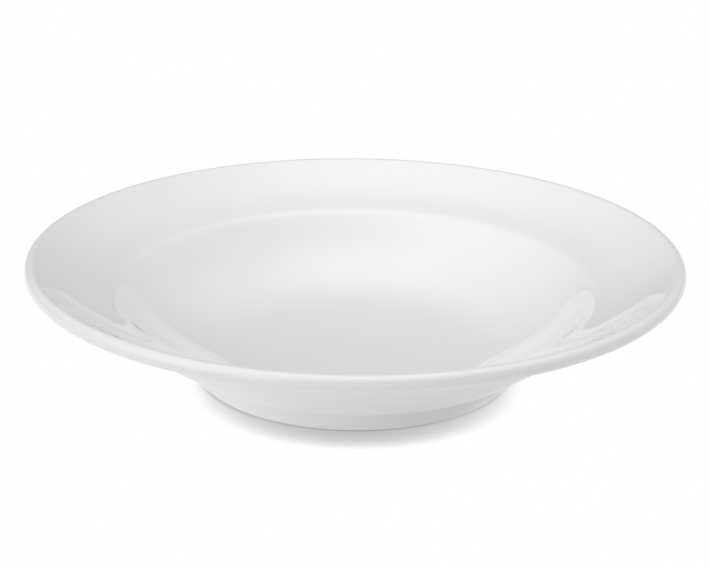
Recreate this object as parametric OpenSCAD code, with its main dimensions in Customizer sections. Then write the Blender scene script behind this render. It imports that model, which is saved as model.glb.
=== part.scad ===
// Rim soup bowl in glazed porcelain.
// The bowl stands on z = 0 with its axis on Z. Its whole form is one section, turned about that axis:
// a fired clay body, a glaze coat over all that shows, and a second coat inside the foot ring.
// The driving sizes are those of the glazed bowl, so the clay lies one glaze thickness below them.

/* [Rim] */
// Overall diameter across the lip
rim_d = 230; // [205:1:270]
// Overall height from the table to the top of the lip
overall_h = 44.8; // [38:0.1:65]
// Width of the rim in plan, from the lip's outer edge to the edge of the well
rim_w = 31; // [22:0.5:40]
// Slope of the rim's underside and mean slope of its top above the horizontal, in degrees
rim_slope = 24.5; // [12:0.5:30]
// How much steeper than that the dished top is at the lip, and flatter at the well, in degrees
rim_dish = 7; // [1:0.5:8]
// Rounding of the dished top
rim_round = 60; // [30:5:80]
// Thickness of the rim at its full-round lip
rim_t = 5.2; // [4:0.1:7]
// Rounding of the edge where the rim turns down into the well
well_edge_round = 8; // [2:0.5:12]

/* [Well] */
// Diameter of the well's floor, measured to the corner that its rounding replaces
floor_d = 126; // [110:1:140]
// Diameter of the flat in the middle of the floor
floor_flat_d = 12; // [4:1:24]
// Rise of the dished floor from that flat to the corner
floor_rise = 3.5; // [1:0.1:5]
// Share of the wall that the rounding between the floor and the wall takes up
well_bend = 0.65; // [0.3:0.05:0.8]
// Thickness of the base in the middle
base_t = 3.8; // [3.5:0.1:6]
// Thickness of the wall at the line where the foot begins
wall_t = 3.95; // [3.5:0.05:7]
// How far outside the well's edge the underside of the rim turns down into the wall
knee_w = 11.5; // [7:0.5:16]
// Rounding of that turn under the rim
knee_round = 30; // [5:1:50]

/* [Foot] */
// Diameter of the foot at the table
foot_d = 109; // [98:1:116]
// Height of the foot's flared side, up to the line where the wall begins
foot_h = 11; // [7:0.5:14]
// Rounding in the line between the foot and the wall
foot_line_round = 1.5; // [0.5:0.1:6]
// Width of the bare face that the bowl stands on
bearing_w = 4; // [2:0.1:6]
// Rounding of both edges of that bare face
bearing_round = 0.8; // [0.4:0.1:1.2]
// Depth of the recess inside the foot ring
recess_depth = 2.4; // [2:0.1:4]
// Slope of the foot ring's inner face above the horizontal, in degrees
recess_slope = 60; // [40:1:85]
// Rounding where that face runs into the recess
recess_round = 3; // [1:0.5:5]

/* [Glaze] */
// Thickness of the glaze
glaze_t = 0.3; // [0.2:0.05:0.5]
// Height above the table at which the glaze stops, on both sides of the foot ring
bare_h = 0.8; // [0.6:0.1:1.5]

/* [Hidden] */
// Most that a chord of a rounding may depart from its arc
arc_sag = 0.01;
// Steps of a full turn about the axis
$fn = 180;

// Corners of the glazed section as [radius, height], before they are rounded
lip_r = rim_t / 2;
lip_slope = rim_slope + rim_dish;
shoulder_slope = rim_slope - rim_dish;
lip_centre = [rim_d / 2 - lip_r, overall_h - lip_r];
rim_top = lip_centre + lip_r * normal(lip_slope);
rim_under = lip_centre - lip_r * normal(rim_slope);
well_edge_r = rim_d / 2 - rim_w;
rim_bend = on_slope(rim_top, lip_slope, (rim_top.x + well_edge_r) / 2);
well_edge = on_slope(rim_bend, shoulder_slope, well_edge_r);
knee = on_slope(rim_under, rim_slope, well_edge_r + knee_w);

// The dished floor and the rounding of the well, which meet without a flat between them
floor_centre = [0, recess_depth + base_t];
floor_corner = [floor_d / 2, floor_centre.y + floor_rise];
well_run = well_bend * norm(well_edge - floor_corner);
floor_bend = [(floor_corner.x - well_run + floor_flat_d / 2) / 2, floor_centre.y];
floor_slope = slope(floor_bend, floor_corner);
wall_slope = slope(floor_corner, well_edge);
floor_round = (floor_bend.x - floor_flat_d / 2) / tan(floor_slope / 2);
well_turn = wall_slope - floor_slope;
well_round = well_run / tan(well_turn / 2);
well_centre = floor_corner + well_round / cos(well_turn / 2) * normal(floor_slope + well_turn / 2);

// The foot's line lies one wall thickness outside the rounding of the well
foot_line = [well_centre.x + sqrt(pow(well_round + wall_t, 2) - pow(well_centre.y - foot_h, 2)), foot_h];
foot_outer = [foot_d / 2, 0];
foot_inner = [foot_d / 2 - bearing_w, 0];
flare_slope = slope(foot_outer, foot_line);
recess_corner = [foot_inner.x - recess_depth / tan(recess_slope), recess_depth];
recess_centre = [0, recess_depth];

// Point at radius r on the line that passes through p and rises outwards at an angle
function on_slope(p, angle, r) = [r, p.y + (r - p.x) * tan(angle)];

// Angle at which the line from a out to b rises, and the upward normal of a line at an angle
function slope(a, b) = atan2(b.y - a.y, b.x - a.x);
function normal(angle) = [-sin(angle), cos(angle)];

function reversed(list) = [for (i = [len(list) - 1 : -1 : 0]) list[i]];

function unit(v) = v / norm(v);

// Points of an arc from one angle to another, offset from a radius r that arc_sag sets the steps for.
// Arcs at two offsets have the same steps, so their chords pair up across the glaze.
function arc(centre, r, offset, from, to) =
    let (steps = max(2, ceil(abs(to - from) / (2 * acos(1 - arc_sag / r)))))
    [for (i = [0 : steps])
        let (angle = from + (to - from) * i / steps)
        centre + (r + offset) * [cos(angle), sin(angle)]];

// Rounding of the corner b between a and c, at a depth below a surface that has its solid on the right.
// The arcs at every depth share one centre, so two depths lie a constant thickness apart.
function rounding(a, b, c, r, depth) =
    let (
        along = unit(b - a),
        turn_to = unit(c - b),
        side = sign(cross(along, turn_to)),
        turn = acos(along * turn_to),
        inward = side * [-along.y, along.x],
        centre = b - r * tan(turn / 2) * along + r * inward,
        from = atan2(-inward.y, -inward.x)
    )
    arc(centre, r, side * depth, from, from + side * turn);

// The side that shows, at a depth below the glaze: well, rim, lip, wall and the foot's flared side
function show_path(depth) = concat(
    [floor_centre - [0, depth]],
    rounding(floor_centre, floor_bend, floor_corner, floor_round, depth),
    rounding(floor_bend, floor_corner, well_edge, well_round, depth),
    rounding(floor_corner, well_edge, rim_bend, well_edge_round, depth),
    rounding(well_edge, rim_bend, rim_top, rim_round, depth),
    arc(lip_centre, lip_r, -depth, lip_slope + 90, rim_slope - 90),
    rounding(rim_under, knee, foot_line, knee_round, depth),
    rounding(knee, foot_line, foot_outer, foot_line_round, depth),
    [flare_at(bare_h, depth)]
);

// The side inside the foot ring, at a depth below the glaze
function recess_path(depth) = concat(
    [ring_face_at(bare_h, depth)],
    rounding(foot_inner, recess_corner, recess_centre, recess_round, depth),
    [recess_centre + [0, depth]]
);

// Points at height z on the foot's flared side and on the ring's inner face, at a depth below the glaze
function flare_at(z, depth) = foot_outer + [z / tan(flare_slope) - depth / sin(flare_slope), z];
function ring_face_at(z, depth) = foot_inner + [depth / sin(recess_slope) - z / tan(recess_slope), z];

// The bare underside of the foot ring, with both of its edges rounded
function bearing_path() =
    let (
        outer = flare_at(0, glaze_t),
        inner = ring_face_at(0, glaze_t)
    )
    concat(
        rounding(flare_at(bare_h, glaze_t), outer, inner, bearing_round, 0),
        rounding(outer, inner, ring_face_at(bare_h, glaze_t), bearing_round, 0)
    );

// Fired clay, one piece from lip to foot
module porcelain_body() {
    color("ivory")
        rotate_extrude()
            polygon(concat(show_path(glaze_t), bearing_path(), recess_path(glaze_t)));
}

// Glaze over the well, rim, lip, wall and foot, down to the bare ring
module glaze_coat() {
    color("white")
        rotate_extrude()
            polygon(concat(show_path(0), reversed(show_path(glaze_t))));
}

// Glaze on the underside, inside the bare ring
module foot_recess_glaze() {
    color("white")
        rotate_extrude()
            polygon(concat(recess_path(0), reversed(recess_path(glaze_t))));
}

porcelain_body();
glaze_coat();
foot_recess_glaze();
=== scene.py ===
# %% [markdown]
# # A glazed porcelain soup bowl
# The bowl is one lump of white clay, turned to a section, fired, and coated with clear glass that
# melts to a gloss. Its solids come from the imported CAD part. This lesson turns the same section again
# as fine smooth meshes, gives them their finishes, and lights them as in a photographer's white tent.
# Everything is in metres and in the frame of the CAD part: the bowl stands on z = 0, with its axis on
# Z.

import math

import bmesh
import bpy
from mathutils import Matrix, Vector


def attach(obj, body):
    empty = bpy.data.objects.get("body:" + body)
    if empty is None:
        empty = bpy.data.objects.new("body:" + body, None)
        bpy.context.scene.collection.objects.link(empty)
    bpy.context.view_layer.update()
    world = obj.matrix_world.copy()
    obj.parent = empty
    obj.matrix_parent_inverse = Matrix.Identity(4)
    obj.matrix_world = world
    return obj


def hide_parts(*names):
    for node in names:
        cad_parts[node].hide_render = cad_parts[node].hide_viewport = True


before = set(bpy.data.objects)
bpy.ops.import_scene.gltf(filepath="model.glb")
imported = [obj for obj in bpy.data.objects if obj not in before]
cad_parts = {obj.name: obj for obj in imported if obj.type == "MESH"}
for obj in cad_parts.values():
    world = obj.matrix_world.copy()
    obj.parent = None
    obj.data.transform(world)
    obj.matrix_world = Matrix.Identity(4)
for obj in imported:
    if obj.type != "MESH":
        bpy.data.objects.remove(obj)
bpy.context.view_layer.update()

# %% [markdown]
# ## The camera
# A long lens keeps the ellipses of lip, well and foot close to what a drawing would show. The place
# comes from fitting those circles to the photograph: about 0.7 m away and 20 degrees above the table,
# with a slight roll, as a hand-set tripod head has. A sensor 36 mm wide and a picture 710 pixels wide
# turn pixels into a lens.

# %% Place the camera
PICTURE_W = 710
FOCAL_PIXELS = 2000
SENSOR_W_MM = 36.0
CAMERA_AT = Vector((0.0, -0.6621, 0.2763))
CAMERA_DOWN = math.radians(20.23)
CAMERA_ROLL = math.radians(0.54)

scene = bpy.context.scene
lens = bpy.data.cameras.new("tripod_camera")
lens.sensor_width = SENSOR_W_MM
lens.lens = FOCAL_PIXELS / PICTURE_W * SENSOR_W_MM
camera = bpy.data.objects.new("tripod_camera", lens)
camera.matrix_world = (
    Matrix.Translation(CAMERA_AT)
    @ Matrix.Rotation(math.pi / 2 - CAMERA_DOWN, 4, "X")
    @ Matrix.Rotation(CAMERA_ROLL, 4, "Z")
)
scene.collection.objects.link(camera)
scene.camera = camera
scene.view_settings.view_transform = "Standard"
print("lens:", round(lens.lens, 1), "mm")

# %% [markdown]
# ## The section
# A potter's template, or a press tool, gives the bowl its one section. These are its driving sizes,
# the same values that the CAD source has. Radius runs along X and height along Z, so a corner is an
# (x, z) pair.

# %% Sizes of the section
MM = 0.001
RIM_D = 230 * MM
OVERALL_H = 44.8 * MM
RIM_W = 31 * MM
RIM_SLOPE = math.radians(24.5)
RIM_DISH = math.radians(7)
RIM_ROUND = 60 * MM
RIM_T = 5.2 * MM
WELL_EDGE_ROUND = 8 * MM
FLOOR_D = 126 * MM
FLOOR_FLAT_D = 12 * MM
FLOOR_RISE = 3.5 * MM
WELL_BEND = 0.65
BASE_T = 3.8 * MM
WALL_T = 3.95 * MM
KNEE_W = 11.5 * MM
KNEE_ROUND = 30 * MM
FOOT_D = 109 * MM
FOOT_H = 11 * MM
FOOT_LINE_ROUND = 1.5 * MM
BEARING_W = 4 * MM
BEARING_ROUND = 0.8 * MM
RECESS_DEPTH = 2.4 * MM
RECESS_SLOPE = math.radians(60)
RECESS_ROUND = 3 * MM
GLAZE_T = 0.3 * MM
BARE_H = 0.8 * MM
print("bowl of", round(RIM_D / MM, 1), "by", round(OVERALL_H / MM, 1), "mm")

# %% [markdown]
# ## The corners
# The sizes place the corners of the section before they are rounded. The rim is two straight lines at
# different slopes, so its rounded top is dished. The floor's rounding and the well's meet without a
# flat between them, and the line above the foot lies one wall thickness outside the well.

# %% Corners of the section
def on_slope(point, slope, r):
    """Where the line that passes through a point and rises outwards at a slope reaches radius r."""
    return Vector((r, point.y + (r - point.x) * math.tan(slope)))


def slope_of(start, end):
    """The angle at which the line from one point out to another rises."""
    return math.atan2(end.y - start.y, end.x - start.x)


def slope_normal(slope):
    """The upward normal of a line that rises outwards at a slope."""
    return Vector((-math.sin(slope), math.cos(slope)))


LIP_R = RIM_T / 2
LIP_SLOPE = RIM_SLOPE + RIM_DISH
SHOULDER_SLOPE = RIM_SLOPE - RIM_DISH
lip_centre = Vector((RIM_D / 2 - LIP_R, OVERALL_H - LIP_R))
rim_top = lip_centre + LIP_R * slope_normal(LIP_SLOPE)
rim_under = lip_centre - LIP_R * slope_normal(RIM_SLOPE)
well_edge_r = RIM_D / 2 - RIM_W
rim_bend = on_slope(rim_top, LIP_SLOPE, (rim_top.x + well_edge_r) / 2)
well_edge = on_slope(rim_bend, SHOULDER_SLOPE, well_edge_r)
knee = on_slope(rim_under, RIM_SLOPE, well_edge_r + KNEE_W)
floor_centre = Vector((0, RECESS_DEPTH + BASE_T))
floor_corner = Vector((FLOOR_D / 2, floor_centre.y + FLOOR_RISE))
well_run = WELL_BEND * (well_edge - floor_corner).length
floor_bend = Vector(((floor_corner.x - well_run + FLOOR_FLAT_D / 2) / 2, floor_centre.y))
floor_slope = slope_of(floor_bend, floor_corner)
wall_slope = slope_of(floor_corner, well_edge)
floor_round = (floor_bend.x - FLOOR_FLAT_D / 2) / math.tan(floor_slope / 2)
well_turn = wall_slope - floor_slope
well_round = well_run / math.tan(well_turn / 2)
well_reach = well_round / math.cos(well_turn / 2)
well_centre = floor_corner + slope_normal(floor_slope + well_turn / 2) * well_reach
foot_line_out = math.sqrt((well_round + WALL_T) ** 2 - (well_centre.y - FOOT_H) ** 2)
foot_line = Vector((well_centre.x + foot_line_out, FOOT_H))
foot_outer = Vector((FOOT_D / 2, 0))
foot_inner = Vector((FOOT_D / 2 - BEARING_W, 0))
flare_slope = slope_of(foot_outer, foot_line)
recess_corner = Vector((foot_inner.x - RECESS_DEPTH / math.tan(RECESS_SLOPE), RECESS_DEPTH))
recess_centre = Vector((0, RECESS_DEPTH))
print("well wall at", round(math.degrees(wall_slope), 2), "degrees, foot flare at",
      round(math.degrees(flare_slope), 2))

# %% [markdown]
# ## A pen that draws the section
# The section is straight runs joined by true arcs. A bevel on its corners would be quicker, but
# Blender's bevel is only round at a right angle, and these corners are wide. So a pen draws it: a
# vertex is extruded along each straight run, and spun about a centre for each arc. Runs are cut into
# short steps, so that smooth shading keeps each rounding to itself.

# %% The pen
RUN_STEP = 1.6 * MM
ARC_SAG = 0.004 * MM
TURN_AXIS = Vector((0, -1, 0))


def place(point):
    """A section's (radius, height) pair as a point of space, on the half plane y = 0."""
    return Vector((point.x, 0, point.y))


def draw_run(bm, tip, end):
    """Carries the pen straight from the vertex tip to a point, and returns the last vertex."""
    way = place(end) - tip.co
    steps = max(1, math.ceil(way.length / RUN_STEP))
    for _ in range(steps):
        tip = bmesh.ops.extrude_vert_indiv(bm, verts=[tip])["verts"][0]
        bmesh.ops.translate(bm, verts=[tip], vec=way / steps)
    return tip


def draw_arc(bm, tip, centre, turn):
    """Carries the pen round a centre by an angle, anticlockwise where it is positive."""
    radius = (tip.co - place(centre)).length
    steps = max(2, math.ceil(abs(turn) / (2 * math.acos(1 - ARC_SAG / radius))))
    swept = bmesh.ops.spin(bm, geom=[tip], cent=place(centre), axis=TURN_AXIS, angle=turn, steps=steps)
    return next(v for v in swept["geom_last"] if isinstance(v, bmesh.types.BMVert))


def rounding(before, corner, after, radius):
    """Centre and turn of the arc that rounds a corner, and the way into the solid on the pen's right."""
    along = (corner - before).normalized()
    turn = along.angle_signed(after - corner) * -1
    into_solid = Vector((along.y, -along.x))
    arc_start = corner - along * radius * math.tan(abs(turn) / 2)
    return arc_start - into_solid * math.copysign(radius, turn), turn, into_solid


def draw_corner(bm, tip, before, corner, after, radius, depth):
    """Draws a run up to a rounded corner and then the rounding, at a depth below the glazed surface."""
    centre, turn, into_solid = rounding(before, corner, after, radius)
    at_depth = radius + math.copysign(depth, turn)
    tip = draw_run(bm, tip, centre + into_solid * math.copysign(at_depth, turn))
    return draw_arc(bm, tip, centre, turn)


print("pen ready: steps of", round(RUN_STEP / MM, 2), "mm, arcs within", round(ARC_SAG / MM, 4), "mm")

# %% [markdown]
# ## The side that shows
# One stroke of the pen runs from the middle of the well up its wall, out along the rim, round the
# lip, and down the outside to where the glaze stops above the table. The same stroke serves twice: at
# depth 0 it is the face of the glaze, and one glaze thickness deeper it is the face of the clay.

# %% Strokes of the section
def flare_at(z, depth):
    """A point at height z on the foot's flared side."""
    return foot_outer + Vector((z / math.tan(flare_slope) - depth / math.sin(flare_slope), z))


def ring_face_at(z, depth):
    """A point at height z on the inner face of the foot ring."""
    return foot_inner + Vector((depth / math.sin(RECESS_SLOPE) - z / math.tan(RECESS_SLOPE), z))


def draw_show_side(bm, depth):
    """Well, rim, lip, wall and flared foot, from the axis to the end of the glaze."""
    tip = bm.verts.new(place(floor_centre - Vector((0, depth))))
    tip = draw_corner(bm, tip, floor_centre, floor_bend, floor_corner, floor_round, depth)
    tip = draw_corner(bm, tip, floor_bend, floor_corner, well_edge, well_round, depth)
    tip = draw_corner(bm, tip, floor_corner, well_edge, rim_bend, WELL_EDGE_ROUND, depth)
    tip = draw_corner(bm, tip, well_edge, rim_bend, rim_top, RIM_ROUND, depth)
    tip = draw_run(bm, tip, lip_centre + slope_normal(LIP_SLOPE) * (LIP_R - depth))
    tip = draw_arc(bm, tip, lip_centre, RIM_SLOPE - LIP_SLOPE - math.pi)
    tip = draw_corner(bm, tip, rim_under, knee, foot_line, KNEE_ROUND, depth)
    tip = draw_corner(bm, tip, knee, foot_line, foot_outer, FOOT_LINE_ROUND, depth)
    return draw_run(bm, tip, flare_at(BARE_H, depth))


def draw_recess_side(bm, tip, depth):
    """The face inside the foot ring and the underside of the base, in to the axis."""
    tip = draw_corner(bm, tip, foot_inner, recess_corner, recess_centre, RECESS_ROUND, depth)
    return draw_run(bm, tip, recess_centre + Vector((0, depth)))


glaze_end_r = flare_at(BARE_H, 0).x
print("glaze stops", round(BARE_H / MM, 2), "mm above the table, at radius", round(glaze_end_r / MM, 2))

# %% [markdown]
# ## Turning a section
# A spin about the axis does what the potter's wheel does. A full spin would do, but each of its steps
# looks over the whole mesh again, so a quarter turn that is mirrored twice gives the same bowl much
# sooner. The copies are merged where they meet, the vertices on the axis become one pole, and the
# normals are made to point out of the clay once the doubles are gone.

# %% The wheel
QUARTER_STEPS = 60
WELD = 0.0005 * MM
CREASE = math.radians(35)


def turn_on_wheel(bm):
    """Turns the drawn section about the axis, closes seams and poles, and points faces outwards."""
    bmesh.ops.spin(
        bm,
        geom=bm.verts[:] + bm.edges[:],
        cent=(0, 0, 0),
        axis=(0, 0, 1),
        angle=math.pi / 2,
        steps=QUARTER_STEPS,
    )
    for axis in ("X", "Y"):
        bmesh.ops.mirror(
            bm,
            geom=bm.verts[:] + bm.edges[:] + bm.faces[:],
            matrix=Matrix.Identity(4),
            merge_dist=WELD,
            axis=axis,
        )
    bmesh.ops.remove_doubles(bm, verts=bm.verts[:], dist=WELD)
    bmesh.ops.recalc_face_normals(bm, faces=bm.faces[:])


def finish_piece(bm, name):
    """Makes a smooth object of a bmesh, at the origin, with creases kept sharp."""
    mesh = bpy.data.meshes.new(name)
    bm.to_mesh(mesh)
    bm.free()
    mesh.shade_smooth()
    mesh.set_sharp_from_angle(angle=CREASE)
    piece = bpy.data.objects.new(name, mesh)
    scene.collection.objects.link(piece)
    low = [round(min(v.co[i] for v in mesh.vertices) / MM, 3) for i in range(3)]
    high = [round(max(v.co[i] for v in mesh.vertices) / MM, 3) for i in range(3)]
    print(name, "has", len(mesh.polygons), "faces, from", low, "to", high, "mm")
    return piece


print("a full turn takes", 4 * QUARTER_STEPS, "steps")

# %% [markdown]
# ## The clay
# The fired body is one closed solid. Its bare ring under the foot is wiped clean before firing, so
# that the bowl doesn't stick to the kiln shelf, and both of its edges are eased with a sponge.

# %% Turn the clay body
bm = bmesh.new()
pen = draw_show_side(bm, GLAZE_T)
ring_outer = flare_at(0, GLAZE_T)
ring_inner = ring_face_at(0, GLAZE_T)
pen = draw_corner(bm, pen, flare_at(BARE_H, GLAZE_T), ring_outer, ring_inner, BEARING_ROUND, 0)
pen = draw_corner(bm, pen, ring_outer, ring_inner, ring_face_at(BARE_H, GLAZE_T), BEARING_ROUND, 0)
pen = draw_run(bm, pen, ring_face_at(BARE_H, GLAZE_T))
draw_recess_side(bm, pen, GLAZE_T)
turn_on_wheel(bm)
clay_body = finish_piece(bm, "clay_body")

# %% [markdown]
# ## The glaze
# The coat is glass of one thickness. Its face is turned first, and solidify then thickens it into the
# clay, as a dip does. Where the coat stops above the table, surface tension leaves a rounded edge, so
# the last edge loop is bevelled.

# %% Turn the glaze coats
GLAZE_END_ROUND = 0.12 * MM
GLAZE_END_SEGMENTS = 3


def thicken_glaze(bm, face_up):
    """Gives a glaze face, which looks up or down at the axis, its thickness on the clay's side."""
    pole = min(bm.verts, key=lambda vert: vert.co.x ** 2 + vert.co.y ** 2)
    if (pole.link_faces[0].normal.z > 0) != face_up:
        bmesh.ops.reverse_faces(bm, faces=bm.faces[:])
    rim_edges = [e for e in bm.edges if e.is_boundary]
    bmesh.ops.solidify(bm, geom=bm.faces[:], thickness=GLAZE_T)
    ends = [e for e in rim_edges if e.is_valid]
    bmesh.ops.bevel(
        bm,
        geom=ends,
        offset=GLAZE_END_ROUND,
        offset_type="OFFSET",
        affect="EDGES",
        segments=GLAZE_END_SEGMENTS,
        profile=0.5,
        material=-1,
    )


bm = bmesh.new()
draw_show_side(bm, 0)
turn_on_wheel(bm)
thicken_glaze(bm, face_up=True)
glaze_coat = finish_piece(bm, "glaze_skin")

bm = bmesh.new()
pen = bm.verts.new(place(ring_face_at(BARE_H, 0)))
draw_recess_side(bm, pen, 0)
turn_on_wheel(bm)
thicken_glaze(bm, face_up=False)
recess_glaze = finish_piece(bm, "recess_skin")

# %% [markdown]
# ## Effects that the finishes share
# Fired ware is never quite even. The kiln leaves a faint cloudiness in the tone. The melt leaves a
# slow swell and a fine orange peel in the gloss. Glaze runs thin over an outward edge, pools in an
# inward one, and a foot ring is rubbed where it stands. The ring mask also places painted shade on
# the lip. Each effect is a node group, which a finish takes with values of its own. The groups read
# object coordinates in metres, so the effects stay with the bowl.

# %% Tools for node groups
def new_group(name, inputs, outputs):
    """Starts a node group from (label, socket type, value) inputs and (label, socket type) outputs."""
    group = bpy.data.node_groups.new(name, "ShaderNodeTree")
    for label, kind, value in inputs:
        socket = group.interface.new_socket(label, in_out="INPUT", socket_type=kind)
        if value is not None:
            socket.default_value = value
    for label, kind in outputs:
        group.interface.new_socket(label, in_out="OUTPUT", socket_type=kind)
    return group, group.nodes.new("NodeGroupInput"), group.nodes.new("NodeGroupOutput")


def feed(tree, socket, value):
    """Gives a socket its value: a link from another socket, or a constant."""
    if isinstance(value, bpy.types.NodeSocket):
        tree.links.new(value, socket)
    elif value is not None:
        socket.default_value = value


def add_math(tree, operation, first, second=None):
    """Adds a Math node and returns its output."""
    node = tree.nodes.new("ShaderNodeMath")
    node.operation = operation
    feed(tree, node.inputs[0], first)
    feed(tree, node.inputs[1], second)
    return node.outputs[0]


def add_vector_math(tree, operation, first, second=None):
    """Adds a Vector Math node, and returns its vector output or, where it has one, its value."""
    node = tree.nodes.new("ShaderNodeVectorMath")
    node.operation = operation
    feed(tree, node.inputs[0], first)
    feed(tree, node.inputs[1], second)
    return node.outputs["Value" if operation in ("LENGTH", "DOT_PRODUCT") else "Vector"]


def add_range(tree, value, low, high, to_low, to_high, kind="LINEAR"):
    """Adds a clamped Map Range node and returns its result."""
    node = tree.nodes.new("ShaderNodeMapRange")
    node.interpolation_type = kind
    for slot, number in enumerate((value, low, high, to_low, to_high)):
        feed(tree, node.inputs[slot], number)
    return node.outputs["Result"]


def add_noise(tree, vector, scale, detail):
    """Adds a noise texture of a scale per metre and returns its value, which is 0.5 on average."""
    node = tree.nodes.new("ShaderNodeTexNoise")
    feed(tree, node.inputs["Vector"], vector)
    feed(tree, node.inputs["Scale"], scale)
    node.inputs["Detail"].default_value = detail
    return node.outputs["Fac"]


print("tools for node groups ready")

# %% [markdown]
# The ring mask is 1 on a circle about the bowl's axis and fades to 0 at a reach from it. Every edge
# of a turned piece is such a circle, so a radius and a height are enough to find the lip, the foot's
# line or the bearing ring.

# %% Ring mask
ring_mask, given, result = new_group(
    "ring_mask",
    (
        ("Vector", "NodeSocketVector", None),
        ("Radius", "NodeSocketFloat", 0.1),
        ("Height", "NodeSocketFloat", 0.0),
        ("Reach", "NodeSocketFloat", 0.005),
    ),
    (("Mask", "NodeSocketFloat"),),
)
flat = add_vector_math(ring_mask, "MULTIPLY", given.outputs["Vector"], (1, 1, 0))
out = add_math(ring_mask, "SUBTRACT", add_vector_math(ring_mask, "LENGTH", flat), given.outputs["Radius"])
split = ring_mask.nodes.new("ShaderNodeSeparateXYZ")
ring_mask.links.new(given.outputs["Vector"], split.inputs[0])
up = add_math(ring_mask, "SUBTRACT", split.outputs["Z"], given.outputs["Height"])
away = ring_mask.nodes.new("ShaderNodeCombineXYZ")
feed(ring_mask, away.inputs["X"], out)
feed(ring_mask, away.inputs["Z"], up)
distance = add_vector_math(ring_mask, "LENGTH", away.outputs[0])
mask = add_range(ring_mask, distance, 0.0, given.outputs["Reach"], 1.0, 0.0, "SMOOTHSTEP")
ring_mask.links.new(mask, result.inputs["Mask"])
print("ring_mask has", len(ring_mask.nodes), "nodes")

# %% [markdown]
# The cloud is the kiln's unevenness: it makes a colour a little lighter and darker in soft patches.
# Its value is put out too, because a patch that fired hotter is also glossier.

# %% Fired cloud
fired_cloud, given, result = new_group(
    "fired_cloud",
    (
        ("Vector", "NodeSocketVector", None),
        ("Color", "NodeSocketColor", (0.8, 0.8, 0.8, 1)),
        ("Scale", "NodeSocketFloat", 40.0),
        ("Depth", "NodeSocketFloat", 0.01),
    ),
    (("Color", "NodeSocketColor"), ("Cloud", "NodeSocketFloat")),
)
cloud = add_noise(fired_cloud, given.outputs["Vector"], given.outputs["Scale"], detail=3.0)
about_zero = add_math(fired_cloud, "SUBTRACT", cloud, 0.5)
swing = add_math(fired_cloud, "MULTIPLY", about_zero, given.outputs["Depth"])
tone = add_math(fired_cloud, "ADD", add_math(fired_cloud, "MULTIPLY", swing, 2.0), 1.0)
toned = fired_cloud.nodes.new("ShaderNodeVectorMath")
toned.operation = "SCALE"
feed(fired_cloud, toned.inputs[0], given.outputs["Color"])
feed(fired_cloud, toned.inputs["Scale"], tone)
fired_cloud.links.new(toned.outputs["Vector"], result.inputs["Color"])
fired_cloud.links.new(cloud, result.inputs["Cloud"])
print("fired_cloud has", len(fired_cloud.nodes), "nodes")

# %% [markdown]
# The relief is two sizes of noise in one height: a broad one and a fine one, each with its own scale.
# On glaze they are the swell and the orange peel, only microns high. On bare clay they are the
# turning and the grain.

# %% Surface relief
surface_relief, given, result = new_group(
    "surface_relief",
    (
        ("Vector", "NodeSocketVector", None),
        ("Broad Scale", "NodeSocketFloat", 50.0),
        ("Fine Scale", "NodeSocketFloat", 600.0),
        ("Fine Share", "NodeSocketFloat", 0.1),
    ),
    (("Height", "NodeSocketFloat"),),
)
broad = add_noise(surface_relief, given.outputs["Vector"], given.outputs["Broad Scale"], detail=1.0)
fine = add_noise(surface_relief, given.outputs["Vector"], given.outputs["Fine Scale"], detail=2.0)
fine = add_math(surface_relief, "MULTIPLY", fine, given.outputs["Fine Share"])
height = add_math(surface_relief, "ADD", broad, fine)
surface_relief.links.new(height, result.inputs["Height"])
print("surface_relief has", len(surface_relief.nodes), "nodes")

# %% [markdown]
# ## Placing the groups
# A finish is one Principled shader. These helpers place a group in it, and start it with the object
# coordinates that all its effects read.

# %% Tools for finishes
def new_finish(name):
    """Starts a material, and returns it with its shader and its object coordinates."""
    material = bpy.data.materials.new(name)
    material.use_nodes = True
    where = material.node_tree.nodes.new("ShaderNodeTexCoord").outputs["Object"]
    return material, material.node_tree.nodes["Principled BSDF"], where


def place_group(material, group, where, **values):
    """Places a group in a material with values for its inputs, whose names have _ for a space."""
    node = material.node_tree.nodes.new("ShaderNodeGroup")
    node.node_tree = group
    feed(material.node_tree, node.inputs["Vector"], where)
    for label, value in values.items():
        feed(material.node_tree, node.inputs[label.replace("_", " ")], value)
    return node.outputs


def place_ring(material, where, corner, reach):
    """Places the ring mask on a corner of the section."""
    return place_group(material, ring_mask, where, Radius=corner.x, Height=corner.y, Reach=reach)["Mask"]


def blend(material, mask, first, second):
    """Mixes two colours by a mask and returns the result."""
    node = material.node_tree.nodes.new("ShaderNodeMix")
    node.data_type = "RGBA"
    for label, value in (("Factor_Float", mask), ("A_Color", first), ("B_Color", second)):
        socket = next(s for s in node.inputs if s.identifier == label)
        feed(material.node_tree, socket, value)
    return next(s for s in node.outputs if s.identifier == "Result_Color")


def raise_relief(material, shader, height, metres):
    """Feeds a height, where 1 is a number of metres, to the shader's normal."""
    bump = material.node_tree.nodes.new("ShaderNodeBump")
    bump.inputs["Strength"].default_value = 1.0
    bump.inputs["Distance"].default_value = metres
    feed(material.node_tree, bump.inputs["Height"], height)
    feed(material.node_tree, shader.inputs["Normal"], bump.outputs["Normal"])


print("tools for finishes ready")
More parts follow.
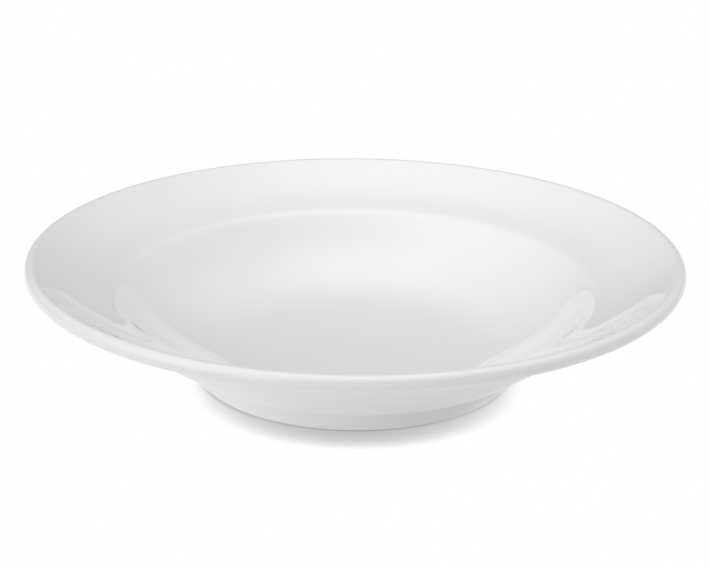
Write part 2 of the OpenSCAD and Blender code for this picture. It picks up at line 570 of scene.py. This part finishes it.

# %% [markdown]
# ## White glaze
# The white is that of the clay seen through clear glass, so the shader is a white of about 80 % with
# a polished surface and glass's index of 1.5. A ring on the lip's outer face darkens it: partly glaze
# that runs thin there, partly painted shade for the dark band that this face shows. The glaze pools
# in the line above the foot and in the corner of the recess, where it is a touch greyer.

# %% White glaze
GLAZE_WHITE = (0.8, 0.8, 0.8, 1)
# A darker tone for the lip's outer face: partly thin glaze, partly painted shade.
GLAZE_THIN_AND_SHADE = (0.73, 0.728, 0.72, 1)
GLAZE_POOLED = (0.77, 0.775, 0.775, 1)
CREST_SLOPE = math.radians(-60)
THIN_SHADE_REACH = 3.2 * MM
LINE_POOL_REACH = 2.2 * MM
RECESS_POOL_REACH = 3 * MM
GLAZE_CLOUD = {"Scale": 35.0, "Depth": 0.012}
CLOUD_RANGE = (0.3, 0.7)
GLAZE_ROUGHNESS = (0.045, 0.02)
GLAZE_SWELL = {"Broad_Scale": 45.0, "Fine_Scale": 700.0, "Fine_Share": 0.02}
GLAZE_RELIEF = 0.012 * MM
GLAZE_IOR = 1.5

white_glaze, shader, where = new_finish("white_glaze")
tree = white_glaze.node_tree
cloud = place_group(white_glaze, fired_cloud, where, Color=GLAZE_WHITE, **GLAZE_CLOUD)
lip_crest = lip_centre + LIP_R * slope_normal(CREST_SLOPE)
# Ring on the lip's outer face that darkens it: partly thin glaze, partly painted shade.
thin_and_shade = place_ring(white_glaze, where, lip_crest, THIN_SHADE_REACH)
pooled = add_math(
    tree,
    "MAXIMUM",
    place_ring(white_glaze, where, foot_line, LINE_POOL_REACH),
    place_ring(white_glaze, where, recess_corner, RECESS_POOL_REACH),
)
colour = blend(white_glaze, thin_and_shade, cloud["Color"], GLAZE_THIN_AND_SHADE)
colour = blend(white_glaze, pooled, colour, GLAZE_POOLED)
feed(tree, shader.inputs["Base Color"], colour)
roughness = add_range(tree, cloud["Cloud"], *CLOUD_RANGE, *GLAZE_ROUGHNESS)
feed(tree, shader.inputs["Roughness"], roughness)
relief = place_group(white_glaze, surface_relief, where, **GLAZE_SWELL)
raise_relief(white_glaze, shader, relief["Height"], GLAZE_RELIEF)
shader.inputs["IOR"].default_value = GLAZE_IOR
print("white_glaze has", len(tree.nodes), "nodes")

# %% [markdown]
# ## Bare clay
# The bearing ring is fired clay that was wiped clean: a warm white, matt and finely sandy. Standing
# and sliding rub the ring's lowest line a little smoother and greyer.

# %% Bare clay
CLAY_WHITE = (0.74, 0.72, 0.68, 1)
CLAY_RUBBED = (0.6, 0.59, 0.57, 1)
CLAY_CLOUD = {"Scale": 120.0, "Depth": 0.08}
RUB_REACH = 1.6 * MM
RUB_CLOUD = (0.35, 0.65)
RUB_SHARE = (0.2, 0.9)
CLAY_ROUGHNESS = (0.8, 0.55)
CLAY_GRAIN = {"Broad_Scale": 900.0, "Fine_Scale": 5000.0, "Fine_Share": 0.5}
CLAY_RELIEF = 0.04 * MM

bare_clay, shader, where = new_finish("bare_porcelain")
tree = bare_clay.node_tree
ring_middle = (foot_outer + foot_inner) / 2
cloud = place_group(bare_clay, fired_cloud, where, Color=CLAY_WHITE, **CLAY_CLOUD)
rubbed = place_ring(bare_clay, where, ring_middle, RUB_REACH)
rubbed = add_math(tree, "MULTIPLY", rubbed, add_range(tree, cloud["Cloud"], *RUB_CLOUD, *RUB_SHARE))
feed(tree, shader.inputs["Base Color"], blend(bare_clay, rubbed, cloud["Color"], CLAY_RUBBED))
feed(tree, shader.inputs["Roughness"], add_range(tree, rubbed, 0.0, 1.0, *CLAY_ROUGHNESS))
relief = place_group(bare_clay, surface_relief, where, **CLAY_GRAIN)
raise_relief(bare_clay, shader, relief["Height"], CLAY_RELIEF)
print("bare_porcelain has", len(tree.nodes), "nodes")

for piece, finish in ((clay_body, bare_clay), (glaze_coat, white_glaze), (recess_glaze, white_glaze)):
    piece.data.materials.append(finish)

# %% [markdown]
# ## The floor
# The bowl stands on a sheet of white acrylic that is lit from below, as product photographers use. A
# plain white floor would be quicker to make, but it would throw the same light on all sides of a pale
# bowl. So the sheet glows, and how bright it is depends on what looks at it. It is white to the
# camera, apart from the bowl's shadow. It is white in the glaze too, but a painted shade makes it
# dimmer under the rim, where little light gets in.

# %% The white sheet
SHEET_SIZE = 3.0

bm = bmesh.new()
bmesh.ops.create_grid(bm, x_segments=1, y_segments=1, size=SHEET_SIZE)
sheet_mesh = bpy.data.meshes.new("white_sheet")
bm.to_mesh(sheet_mesh)
bm.free()
white_sheet = bpy.data.objects.new("white_sheet", sheet_mesh)
scene.collection.objects.link(white_sheet)
print("white_sheet is", 2 * SHEET_SIZE, "m wide")

# %% [markdown]
# ## The shadow on the floor
# Light from behind the bowl leaves a soft shadow in front of the foot, and a thin dark line runs
# round the foot where it meets the sheet. Ambient occlusion finds both: it counts how much of the
# light from one way the bowl hides within a reach. For the long shadow that way leans to the back,
# and for the line it is straight up.

# %% What the camera sees of the sheet
SHADOW_SAMPLES = 48
LONG_SHADOW = {
    "light_way": (-0.04, 0.79, 0.61),
    "reach": 16 * MM,
    "clear_share": (0.12, 0.4),
    "darkest": 0.36,
}
CONTACT_LINE = {
    "light_way": (0.0, 0.0, 1.0),
    "reach": 3 * MM,
    "clear_share": (0.1, 0.6),
    "darkest": 0.46,
}

acrylic = bpy.data.materials.new("lit_acrylic")
acrylic.use_nodes = True
acrylic.cycles.emission_sampling = "NONE"
tree = acrylic.node_tree
tree.nodes.remove(tree.nodes["Principled BSDF"])


def add_shadow(tree, light_way, reach, clear_share, darkest):
    """What is left of the white where the bowl, within a reach, hides the light from one way."""
    way = tree.nodes.new("ShaderNodeCombineXYZ")
    for slot, number in enumerate(light_way):
        way.inputs[slot].default_value = number
    hidden = tree.nodes.new("ShaderNodeAmbientOcclusion")
    hidden.samples = SHADOW_SAMPLES
    hidden.inputs["Distance"].default_value = reach
    feed(tree, hidden.inputs["Normal"], way.outputs[0])
    return add_range(tree, hidden.outputs["AO"], *clear_share, darkest, 1.0)


to_camera = add_math(
    tree, "MINIMUM", add_shadow(tree, **LONG_SHADOW), add_shadow(tree, **CONTACT_LINE)
)
for label, shadow in (("long shadow", LONG_SHADOW), ("contact line", CONTACT_LINE)):
    print(label, "reaches", round(shadow["reach"] / MM, 1), "mm")

# %% [markdown]
# ## The light from the floor
# The sheet's glow has light and shade painted into it. It is brighter on the left of the bowl, where
# the key light falls, and painted shade darkens it on the right, where the bowl shades it. So the light
# that the bowl gets from close by falls off from left to right, and painted shade leaves least of all
# in the gap beside the foot ring. The pairs of sizes are distances from the bowl's axis, between
# which the light changes evenly.

# %% What the bowl gets from the sheet
# The sheet's glow near the bowl is painted light and shade: brighter on the left, darker on the right,
# darkest in the gap by the foot, and dimmer in the glaze under the rim.
SHEET_FAR = 0.82
SHEET_NEAR_BOWL = (1.1, 0.2)
SHEET_IN_GLAZE = 0.82
SHADE_WIDTH = 100 * MM
SHADE_RIM = (90 * MM, 130 * MM)
GAP_RIM = (54.5 * MM, 56.5 * MM)
GAP_LEVEL = 0.3

spot = tree.nodes.new("ShaderNodeTexCoord").outputs["Object"]
from_axis = add_vector_math(tree, "LENGTH", spot)
# Painted shade in the gap beside the foot ring.
gap_painted_shade = add_range(tree, from_axis, *GAP_RIM, GAP_LEVEL, 1.0)
to_glaze = add_range(tree, from_axis, *SHADE_RIM, SHEET_IN_GLAZE, 1.0)
across = tree.nodes.new("ShaderNodeSeparateXYZ")
feed(tree, across.inputs[0], spot)
near = add_range(tree, across.outputs["X"], -SHADE_WIDTH, SHADE_WIDTH, *SHEET_NEAR_BOWL)
bounce = add_range(tree, from_axis, *SHADE_RIM, near, SHEET_FAR)
bounce = add_math(tree, "MULTIPLY", bounce, gap_painted_shade)
print("light from the sheet:", SHEET_NEAR_BOWL, "close by, left and right, and", SHEET_FAR, "further out")

# %% [markdown]
# ## One sheet for all rays
# Light Path tells the rays apart: those from the camera, those in the glaze and those that only carry
# light. A Mix Shader skips the side that a ray doesn't need, so the shadow is worked out for the
# camera alone, and only close to the bowl. From below the sheet is clear, so that the foot ring can
# be looked at.

# %% Join the sheet's looks
SHADOW_ROOM = 140 * MM


def add_glow(tree, strength):
    """Adds a white Emission shader."""
    node = tree.nodes.new("ShaderNodeEmission")
    feed(tree, node.inputs["Strength"], strength)
    return node


def mix_shaders(tree, share, first, second):
    """Mixes two shaders by a share, where 0 is the first and 1 the second."""
    node = tree.nodes.new("ShaderNodeMixShader")
    for slot, value in enumerate((share, first.outputs[0], second.outputs[0])):
        feed(tree, node.inputs[slot], value)
    return node


path = tree.nodes.new("ShaderNodeLightPath").outputs
close = add_math(tree, "LESS_THAN", from_axis, SHADOW_ROOM)
shown = mix_shaders(tree, close, add_glow(tree, 1.0), add_glow(tree, to_camera))
carried = mix_shaders(tree, path["Is Glossy Ray"], add_glow(tree, bounce), add_glow(tree, to_glaze))
to_eye = add_math(tree, "MAXIMUM", path["Is Camera Ray"], path["Is Transmission Ray"])
above = mix_shaders(tree, to_eye, carried, shown)
below = tree.nodes.new("ShaderNodeBsdfTransparent")
underneath = tree.nodes.new("ShaderNodeNewGeometry").outputs["Backfacing"]
surface = mix_shaders(tree, underneath, above, below)
feed(tree, tree.nodes["Material Output"].inputs["Surface"], surface.outputs[0])
white_sheet.data.materials.append(acrylic)
print("lit_acrylic has", len(tree.nodes), "nodes")

# %% [markdown]
# ## The light
# A large soft key stands at the front left, another hangs overhead, and a wide reflector on the right
# opens the shadows. A dark flag behind the bowl keeps the floor of the well from going white, which
# is what shows its depth. They are far and soft, so the world holds them as smooth lobes over a dim
# room. A light has a name, an azimuth in degrees from the camera's side towards the right, an
# elevation, a strength and a sharpness, and the flag has the same two angles.

# %% Soft lights of the room
ROOM_LEVEL = 0.25
SOFT_LIGHTS = (
    ("front left key", 302, 26, 2.1, 5.0),
    ("overhead softbox", 0, 90, 1.62, 7.0),
    ("right reflector", 107, 11, 0.66, 1.0),
)
FLAG = (180, 29)
FLAG_SHARPNESS = 11.0


def toward(azimuth, elevation):
    """The direction from the bowl to a light."""
    raised = Matrix.Rotation(math.radians(-elevation), 3, "X") @ Vector((0, -1, 0))
    return Matrix.Rotation(math.radians(azimuth), 3, "Z") @ raised


def add_lobe(tree, direction, sharpness):
    """A smooth patch of the sky, 1 in its middle and 0 beside it."""
    way = tree.nodes.new("ShaderNodeTexCoord").outputs["Generated"]
    facing = add_math(tree, "MAXIMUM", add_vector_math(tree, "DOT_PRODUCT", way, direction), 0.0)
    return add_math(tree, "POWER", facing, sharpness)


world = bpy.data.worlds.new("studio")
scene.world = world
world.use_nodes = True
tree = world.node_tree
total = ROOM_LEVEL
for label, azimuth, elevation, strength, sharpness in SOFT_LIGHTS:
    lobe = add_lobe(tree, toward(azimuth, elevation), sharpness)
    total = add_math(tree, "ADD", total, add_math(tree, "MULTIPLY", lobe, strength))
    print(label, "at", [round(x, 2) for x in toward(azimuth, elevation)])
flag = add_math(tree, "SUBTRACT", 1.0, add_lobe(tree, toward(*FLAG), FLAG_SHARPNESS))
feed(tree, tree.nodes["Background"].inputs["Strength"], add_math(tree, "MULTIPLY", total, flag))
tree.nodes["Background"].inputs["Color"].default_value = (1, 1, 1, 1)

# %% [markdown]
# ## The frame
# Each mesh now stands for one solid of the CAD part. It rides on the part's one body and takes that
# solid's place, and the CAD solid is hidden. Its finish, given earlier, has the name of that solid's
# material slot.

# %% Join the part's frame
for piece, node, slot in (
    (clay_body, "porcelain_body", "bare_porcelain"),
    (glaze_coat, "glaze_coat", "white_glaze"),
    (recess_glaze, "foot_recess_glaze", "white_glaze"),
):
    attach(piece, "root")
    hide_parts(node)
    print(piece.name, "stands for", node)
